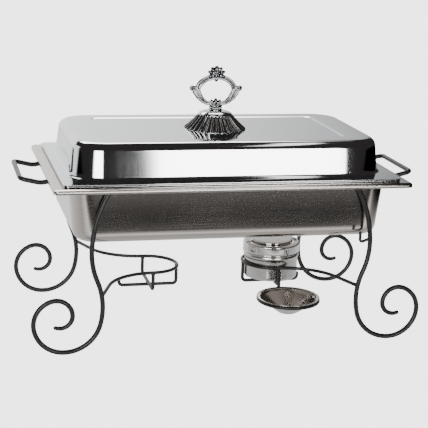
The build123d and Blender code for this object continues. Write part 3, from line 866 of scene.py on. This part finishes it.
def handleParts():
    # leaf stems, ring arcs, curled ears, crest and foot leaf as closed shapes that overlap
    parts = []
    for side in (-1, 1):
        stem = splinePath(mirrored([(2, 0, 358.2), (8, 0, 358.6), (14.4, 0, 359.2), (20.0, 0, 362.2),
                                    (25.2, 0, 367.0),
                                    (29.4, 0, 372.9), (32.6, 0, 378.4), (35.2, 0, 382.0)], side), 90)
        s = np.linspace(0, 1, 90)
        wide = np.interp(s, [0, 0.25, 0.45, 0.62, 0.78, 0.92, 1], [2.8, 3.3, 4.4, 5.5, 6.4, 6.2, 4.6])
        wide = wide * (0.93 + 0.11 * np.abs(np.sin(np.pi * s * 5.5)))
        deep = np.interp(s, [0, 0.3, 0.7, 1], [3.6, 3.8, 4.4, 4.0])
        parts.append(tube(stem, wide, (0, 1, 0), 48, deep / wide, (4, -0.17, 0)))
        arc = splinePath(mirrored([(30.0, 0, 378.0), (29.6, 0, 383.5), (27.6, 0, 388.2), (24.0, 0, 392.4),
                                   (19.0, 0, 396.2),
                                   (13.0, 0, 398.9), (6.0, 0, 400.6), (0.0, 0, 401.0)], side), 80)
        s = np.linspace(0, 1, 80)
        wide = np.interp(s, [0, 0.3, 0.7, 1], [4.0, 4.6, 4.6, 4.0])
        parts.append(tube(arc, wide, (0, 1, 0), 48, 0.92, (4, -0.20, 0)))
        turn = np.radians(np.linspace(-150, 300, 60))
        curl = np.linspace(4.0, 1.1, 60)
        spiral = np.stack([side * (38.8 + curl * np.cos(turn)), 0 * curl, 383.6 + curl * np.sin(turn)], 1)
        parts.append(tube(spiral, np.linspace(1.9, 1.1, 60), (0, 1, 0), 24, np.linspace(2.1, 3.4, 60)))
        parts.append(ball((side * 38.8, 0, 383.6), (1.3, 4.4, 1.3), 14, 20))
        parts.append(ball((side * 5.6, 0, 360.6), (2.6, 3.6, 4.6), 20, 24, side * 32, (4, 0.06)))
        for angle, far, size in ((52, 9.6, (3.2, 4.0, 4.9)), (18, 10.2, (3.0, 4.2, 4.8)),
                                 (-16, 10.8, (2.8, 3.9, 4.2))):
            a = np.radians(angle)
            spot = (side * far * np.cos(a), 0, 405.2 + far * np.sin(a))
            parts.append(ball(spot, size, 24, 32, side * (90 - angle), (5, 0.10)))
        for face in (-1, 1):
            parts.append(ball((side * 10.6, face * 3.6, 402.2), (2.1, 1.7, 2.1), 14, 18))
            parts.append(ball((side * 6.6, face * 3.4, 412.2), (1.7, 1.5, 2.4), 14, 18, side * 35))
            parts.append(ball((side * 24.2, face * 3.6, 366.6), (1.3, 1.3, 5.4), 16, 16, side * 40))
    parts.append(ball((0, 0, 413.4), (4.0, 4.2, 5.8), 24, 36, 0, (6, 0.10)))
    parts.append(ball((0, 0, 405.0), (10.5, 3.9, 8.8), 30, 48, 0, (9, 0.06)))
    parts.append(ball((0, 0, 397.4), (3.2, 3.6, 4.4), 18, 24, 0, (4, 0.08)))
    parts.append(ball((0, 0, 361.6), (3.0, 3.8, 5.4), 20, 24, 0, (4, 0.08)))
    for face in (-1, 1):
        parts.append(ball((0, face * 3.7, 406.0), (2.1, 2.1, 2.1), 16, 20))
        for k in range(6):
            a = np.radians(60 * k + 15)
            parts.append(ball((3.6 * np.cos(a), face * 3.4, 406 + 3.6 * np.sin(a)), (1.7, 1.5, 2.3), 14, 18,
                              90 - 60 * k - 15))
    return parts


def fused(name, parts, voxel, smooth):
    # one skin over shapes that overlap, then its hollows measured for painted shade: how far each point lies
    # under the same skin relaxed towards its neighbours' mean
    points, quads, caps = join(parts)
    rough = bpy.data.meshes.new(name + "_rough")
    rough.from_pydata((points * mm).tolist(), [], quads.tolist() + [list(c) for c in caps])
    carrier = bpy.data.objects.new(name + "_rough", rough)
    bpy.context.scene.collection.objects.link(carrier)
    skin = carrier.modifiers.new("skin", "REMESH")
    skin.mode = "VOXEL"
    skin.voxel_size = voxel * mm
    soften = carrier.modifiers.new("soften", "SMOOTH")
    soften.factor = 0.5
    soften.iterations = smooth
    depsgraph = bpy.context.evaluated_depsgraph_get()
    done = bpy.data.meshes.new_from_object(carrier.evaluated_get(depsgraph))
    co = np.empty(len(done.vertices) * 3, np.float32)
    done.vertices.foreach_get("co", co)
    co = co.reshape(-1, 3).astype(float)
    edges = np.empty(len(done.edges) * 2, np.int32)
    done.edges.foreach_get("vertices", edges)
    edges = edges.reshape(-1, 2)
    normals = np.empty(len(done.vertices) * 3, np.float32)
    done.vertices.foreach_get("normal", normals)
    normals = normals.reshape(-1, 3)
    degree = np.bincount(edges.ravel(), minlength=len(co))[:, None]
    relaxed = co.copy()
    for _ in range(14):
        total = np.zeros_like(relaxed)
        for k in range(3):
            total[:, k] = (np.bincount(edges[:, 0], relaxed[edges[:, 1], k], len(co))
                           + np.bincount(edges[:, 1], relaxed[edges[:, 0], k], len(co)))
        relaxed = 0.5 * relaxed + 0.5 * total / degree
    hollowShade = np.einsum("ij,ij->i", relaxed - co, normals) / mm
    corners = np.empty(len(done.loops), np.int32)
    done.loops.foreach_get("vertex_index", corners)
    bpy.data.objects.remove(carrier)
    return co / mm, corners.reshape(-1, 4), np.clip(hollowShade / 0.15, 0, 1)


def makeRing():
    points, quads, hollowShade = fused("finial_ring", handleParts(), 0.45, 2)
    ring = pieceFrom("finial_ring_cast", points, quads, [], ringChrome, "lid", "finial_chrome",
                     ["finial_ring"])
    # painted shade in the ring's hollows
    markCavityShade(ring, hollowShade)
    print("lid handle:", len(points), "points")


def makeBolt():
    low = boxMm("finial_bolt")[0][2]
    turnedPiece("lid_bolt", [(0.3, low), (4.2, low), (5.2, low + 1.4), (5.2, low + 4.0), (2.5, low + 4.05),
                             (2.5, low + 27.9),
                             (0.3, low + 28.0)], 0.5, (0, 0), screwSteel, "lid", "screw_steel",
                ["finial_bolt"], 48)
    low, high = boxMm("finial_washer")
    r = high[0]
    turnedPiece("lid_washer", [(2.7, low[2]), (r, low[2]), (r, high[2]), (2.7, high[2])], 0.25, (0, 0),
                screwSteel, "lid",
                "screw_steel", ["finial_washer"], 64, True)


makeBell()
makeRing()
makeBolt()
print("lid handle made")

holder = {"x": 105.0, "cup": 44.6, "floor": 66.1, "collar": 47.2, "collarLow": 109.0, "collarTop": 126.5,
          "mouth": 31.0,
          "cover": 34.0, "coverLow": 127.0, "rivet": 144.5}


def makeHolder():
    h = holder
    at = (h["x"], 0)
    r, z = h["cup"], h["floor"]
    cup = [(0.4, z), (r - 4.0, z), (r - 1.2, z + 1.1), (r, z + 4.0), (r, 99.6), (r + 0.5, 101.2),
           (r + 1.7, 103.4),
           (r + 1.8, 105.4), (r + 1.3, 107.4), (r + 0.5, 108.6), (r + 0.5, 114.0),
           (r - 0.7, 114.0), (r - 0.7, z + 4.2),
           (r - 1.8, z + 1.7), (r - 4.2, z + 0.8), (0.4, z + 0.8)]
    turnedPiece("holder_cup_body", cup, 1.1, at, cupSteel, "fuel_holder", "holder_steel", ["holder_cup"])
    r, low, top = h["collar"], h["collarLow"], h["collarTop"]
    mouth = h["mouth"]
    collar = [(r - 1.9, low), (r, low), (r + 0.7, low + 0.8), (r, low + 1.8), (r - 0.2, low + 2.4),
              (r, low + 4.0),
              (r, top - 1.6), (r - 1.6, top), (mouth + 5.5, top), (mouth + 4.0, top - 1.2),
              (mouth, top - 1.2),
              (mouth, top - 1.9), (r - 1.9, top - 1.9)]
    turnedPiece("holder_collar_body", collar, 0.9, at, collarSteel, "fuel_holder", "holder_steel",
                ["holder_collar", "holder_shoulder"],
                closed=True)
    z = h["coverLow"]
    r = h["cover"]
    cover = [(0.4, z + 2.4), (r - 1.6, z + 2.4), (r - 0.8, z + 1.6), (r - 0.8, z), (r, z), (r, z + 2.2),
             (r - 1.2, z + 3.2),
             (0.4, z + 3.2)]
    turnedPiece("flame_cover_disc", cover, 0.5, at, coverSteel, "flame_cover", "holder_steel",
                ["holder_cover"])
    tabs = []
    for start, end, half, height in ((h["x"] + r - 1.0, h["rivet"] + 5.0, 5.0, z + 0.4),
                                     (h["x"] - r + 1.0, h["x"] - r - 9.0, 5.5, z + 1.6)):
        tabs.append(tabPart(start, end, half, height, 0.4))
    points, quads, caps = join(tabs)
    pieceFrom("flame_cover_tabs", points, quads, caps, coverSteel, "flame_cover", "holder_steel", (), 40)
    rivet = [(0.3, z + 2.4), (2.3, z + 2.35), (3.0, z + 1.8), (3.2, z + 1.1), (1.6, z + 1.05),
             (1.6, z - 3.9), (0.3, z - 3.9)]
    turnedPiece("cover_rivet_head", rivet[::-1], 0.3, (h["rivet"], 0), screwSteel, "fuel_holder",
                "screw_steel", ["cover_rivet"], 32)


def tabPart(start, end, half, z, thick):
    # a flat strip whose far end is round: its outline pulled in at the top and bottom edges
    side = 1 if end > start else -1
    a = np.radians(np.linspace(-90, 90, 25))
    x = np.concatenate([[start], end - side * half + side * half * np.cos(a), [start]])
    y = np.concatenate([[-half], half * np.sin(a), [half]])
    if side < 0:
        x, y = x[::-1], y[::-1]
    outline = np.stack([x, y], 1)
    middle = outline.mean(0)
    rows = []
    for inset, height in ((0.25, -thick), (0, -thick + 0.2), (0, thick - 0.2), (0.25, thick)):
        away = outline - middle
        size = np.linalg.norm(away, axis=1, keepdims=True)
        flatRing = middle + away * (size - inset) / size
        rows.append(np.hstack([flatRing, np.full((len(flatRing), 1), z + height)]))
    count = len(outline)
    return np.concatenate(rows), gridFaces(4, count), [np.arange(count)[::-1], np.arange(count) + 3 * count]


snuffer = {"dish": 50.5, "rim": 62.6, "floor": 35.0, "wall": 0.8}


def makeSnuffer():
    s = snuffer
    at = (stand["basketX"], stand["snufferY"])
    r, top, low, wall = s["dish"], s["rim"], s["floor"], s["wall"]
    dish = [(1.6, low), (9.0, low), (15.0, low + 1.5), (19.5, low + 4.6), (43.6, top - 5.2),
            (45.8, top - 1.9), (48.0, top - 1.2),
            (r - 0.5, top - 1.2), (r, top - 0.9), (r, top - 0.3), (r - 0.5, top),
            (48.0, top - 0.3), (45.0, top - 1.1),
            (42.8, top - 4.6), (19.0, low + 4.6 + wall), (14.6, low + 1.5 + wall),
            (9.0, low + wall), (1.6, low + wall)]
    turnedPiece("snuffer_dish_body", dish, 2.2, at, dishSteel, "snuffer", "snuffer_steel", ["snuffer_dish"],
                closed=True, stepMm=2.0)
    low, high = boxMm("snuffer_rivet")
    z = s["floor"]
    rivet = [(0.3, low[2]), (2.2, low[2] + 0.2), (3.2, z - 0.35), (3.2, z - 0.02), (1.62, z - 0.02),
             (1.62, z + wall + 0.02), (3.6, z + wall + 0.02),
             (3.4, z + wall + 0.7), (2.2, high[2] - 0.2), (0.3, high[2])]
    turnedPiece("snuffer_rivet_head", rivet, 0.3, at, screwSteel, "snuffer", "screw_steel",
                ["snuffer_rivet"], 40)


makeHolder()
makeSnuffer()
print("fuel holder and snuffer made")

# how bright the floor looks in reflections, by distance from front to back: a white table whose
# front edge lies just before the object, a dark gap, then a white sheet on the ground
studio = {"floorHalf": 14.0, "white": 3.6, "floorSides": (-1.7, 0.75), "sideSoft": 0.15,
          "floorGlow": [(-1.55, 0.3), (-1.47, 6.0), (-1.18, 6.0), (-1.08, 0.20), (-0.72, 0.22),
                        (-0.66, 0.20),
                        (-0.60, 0.06), (-0.55, 0.025), (-0.475, 0.025), (-0.435, 1.9),
                        (-0.38, 1.2), (-0.28, 0.7),
                        (0.40, 1.3), (1.20, 1.5)]}


def seenWhite(tree, others):
    # plain white straight on; reflections see the given colour instead
    path = tree.nodes.new("ShaderNodeLightPath")
    white = nodeOf(tree, "ShaderNodeEmission", Strength=studio["white"])
    mix = tree.nodes.new("ShaderNodeMixShader")
    out = tree.nodes.new("ShaderNodeOutputMaterial")
    linkChain(tree, (path.outputs["Is Camera Ray"], mix.inputs[0]), (others, mix.inputs[1]),
              (white.outputs[0], mix.inputs[2]), (mix.outputs[0], out.inputs["Surface"]))


def floorMaterial():
    # plain white straight on; its reflections follow floorGlow from front to back
    material = bpy.data.materials.new("paleFloor")
    material.use_nodes = True
    tree = material.node_tree
    tree.nodes.clear()
    place = tree.nodes.new("ShaderNodeTexCoord")
    split = tree.nodes.new("ShaderNodeSeparateXYZ")
    low, high = studio["floorGlow"][0][0], studio["floorGlow"][-1][0]
    top = max(value for _, value in studio["floorGlow"])
    spot = nodeOf(tree, "ShaderNodeMapRange", **{"From Min": low, "From Max": high})
    ramp = tree.nodes.new("ShaderNodeValToRGB")
    marks = ramp.color_ramp.elements
    for _ in studio["floorGlow"][2:]:
        marks.new(0.5)
    for mark, (y, value) in zip(marks, studio["floorGlow"]):
        mark.position = (y - low) / (high - low)
        mark.color = (value / top, value / top, value / top, 1)
    glow = nodeOf(tree, "ShaderNodeEmission")
    linkChain(tree, (place.outputs["Object"], split.inputs[0]), (split.outputs["Y"], spot.inputs["Value"]),
              (spot.outputs[0], ramp.inputs[0]), (ramp.outputs[0], glow.inputs["Color"]))
    lit = nodeOf(tree, "ShaderNodeMath", operation="MULTIPLY")
    lit.inputs[1].default_value = top
    both = nodeOf(tree, "ShaderNodeMath", operation="MULTIPLY")
    soft = studio["sideSoft"]
    for edge, way, socket in zip(studio["floorSides"], (1, -1), (lit.inputs[0], both.inputs[1])):
        side = nodeOf(tree, "ShaderNodeMapRange", interpolation_type="SMOOTHSTEP", **{
            "From Min": edge - soft * way, "From Max": edge + soft * way})
        linkChain(tree, (split.outputs["X"], side.inputs["Value"]), (side.outputs[0], socket))
    linkChain(tree, (lit.outputs[0], both.inputs[0]), (both.outputs[0], glow.inputs["Strength"]))
    seenWhite(tree, glow.outputs[0])
    return material


def makeFloor():
    half = studio["floorHalf"]
    mesh = bpy.data.meshes.new("floor")
    mesh.from_pydata([(-half, -half, 0), (half, -half, 0), (half, half, 0), (-half, half, 0)], [],
                     [(0, 1, 2, 3)])
    floor = bpy.data.objects.new("floor", mesh)
    mesh.materials.append(floorMaterial())
    bpy.context.scene.collection.objects.link(floor)


# each card: a corner, its two edges, how bright, the share of the sheet that fades at its left, right,
# bottom and top, how steeply it fades, and its colour
cards = {
    "frontCard": ((0.248, -2.5, 0.02), (0.832, 0, 0), (0, 0, 0.98), 11.0, (0.14, 0.08, 0.06, 0.06), 4.0,
                  (1.0, 0.995, 0.985)),
    "leftCard": ((-1.85, -1.70, 0.05), (1.37, -0.68, 0), (0, 0, 1.05), 11.0, (0.30, 0.12, 0.12, 0.12), 2.0,
                 (1, 1, 1)),
    "topCard": ((-1.5, 1.15, 2.5), (3.0, 0, 0), (0, 2.1, 0), 8.0, (0.15, 0.25, 0.25, 0.02), 2.0, (1, 1, 1)),
    "leftSide": ((-2.6, 3.6, 0.0), (0, -3.3, 0), (0, 0, 1.6), 1.5, (0.01, 0.18, 0.01, 0.2), 1.0,
                 (0.95, 0.98, 1.0)),
    "backCard": ((-3.2, 3.0, 0.0), (5.8, 0, 0), (0, 0, 2.3), 1.85, (0.02, 0.52, 0.02, 0.3), 1.0,
                 (0.985, 0.995, 1.0)),
    "flutesStrip": ((0.60, -1.6, 2.2), (0.20, 0, 0), (0, 1.9, 0), 3.0, (0.3, 0.3, 0.2, 0.2), 1.0,
                    (1.0, 0.97, 0.92)),
}


def makeCard(name, corner, along, upward, glowValue, fade, steep, color):
    # a flat glowing sheet whose brightness falls off smoothly near its edges
    corner, along, upward = Vector(corner), Vector(along), Vector(upward)
    mesh = bpy.data.meshes.new(name)
    mesh.from_pydata([corner, corner + along, corner + along + upward, corner + upward], [], [(0, 1, 2, 3)])
    layer = mesh.uv_layers.new(name="sheet")
    layer.data.foreach_set("uv", [0, 0, 1, 0, 1, 1, 0, 1])
    material = bpy.data.materials.new(name)
    material.use_nodes = True
    tree = material.node_tree
    tree.nodes.clear()
    place = nodeOf(tree, "ShaderNodeUVMap", uv_map="sheet")
    split = tree.nodes.new("ShaderNodeSeparateXYZ")
    tree.links.new(place.outputs[0], split.inputs[0])
    strength = nodeOf(tree, "ShaderNodeMath", operation="MULTIPLY")
    strength.inputs[1].default_value = glowValue
    masks = []
    for axis, edge, part in (("X", 0.0, fade[0]), ("X", 1.0, fade[1]), ("Y", 0.0, fade[2]),
                             ("Y", 1.0, fade[3])):
        ramp = nodeOf(tree, "ShaderNodeMapRange", interpolation_type="SMOOTHSTEP", **{
            "From Min": edge, "From Max": edge + part * (1 - 2 * edge)})
        tree.links.new(split.outputs[axis], ramp.inputs["Value"])
        masks.append(ramp.outputs[0])
    total = masks[0]
    for mask in masks[1:]:
        step = nodeOf(tree, "ShaderNodeMath", operation="MULTIPLY")
        linkChain(tree, (total, step.inputs[0]), (mask, step.inputs[1]))
        total = step.outputs[0]
    curve = nodeOf(tree, "ShaderNodeMath", operation="POWER")
    curve.inputs[1].default_value = steep
    tree.links.new(total, curve.inputs[0])
    total = curve.outputs[0]
    glow = nodeOf(tree, "ShaderNodeEmission", Color=(*color, 1))
    out = tree.nodes.new("ShaderNodeOutputMaterial")
    linkChain(tree, (total, strength.inputs[0]), (strength.outputs[0], glow.inputs["Strength"]),
              (glow.outputs[0], out.inputs["Surface"]))
    mesh.materials.append(material)
    sheetObject = bpy.data.objects.new(name, mesh)
    sheetObject.visible_camera = False
    sheetObject.visible_shadow = False
    bpy.context.scene.collection.objects.link(sheetObject)


def makeLight():
    world = bpy.data.worlds.new("studioWorld")
    bpy.context.scene.world = world
    world.use_nodes = True
    tree = world.node_tree
    room = tree.nodes["Background"]
    room.inputs["Color"].default_value = (0.034, 0.031, 0.030, 1)
    white = nodeOf(tree, "ShaderNodeBackground", Strength=studio["white"])
    path = tree.nodes.new("ShaderNodeLightPath")
    mix = tree.nodes.new("ShaderNodeMixShader")
    linkChain(tree, (path.outputs["Is Camera Ray"], mix.inputs[0]), (room.outputs[0], mix.inputs[1]),
              (white.outputs[0], mix.inputs[2]), (mix.outputs[0],
                                                  tree.nodes["World Output"].inputs["Surface"]))
    for name, values in cards.items():
        makeCard(name, *values)


def makeCamera():
    azimuth, elevation, roll = np.radians([-14.03, 14.36, 2.07])
    back = np.array([np.sin(azimuth) * np.cos(elevation), -np.cos(azimuth) * np.cos(elevation),
                     np.sin(elevation)])
    right = np.array([np.cos(azimuth), np.sin(azimuth), 0.0])
    up = np.cross(back, right)
    across = np.cos(roll) * right + np.sin(roll) * up
    above = -np.sin(roll) * right + np.cos(roll) * up
    turn = Matrix(np.stack([across, above, back], 1).tolist())
    camera = bpy.data.cameras.new("studioCamera")
    camera.lens = 104.69
    camera.sensor_width = 36.0
    cameraObject = bpy.data.objects.new("studioCamera", camera)
    cameraObject.matrix_world = Matrix.Translation((-0.4778, -1.9285, 0.6828)) @ turn.to_4x4()
    bpy.context.scene.collection.objects.link(cameraObject)
    bpy.context.scene.camera = cameraObject


makeFloor()
makeLight()
makeCamera()
print("stage ready")
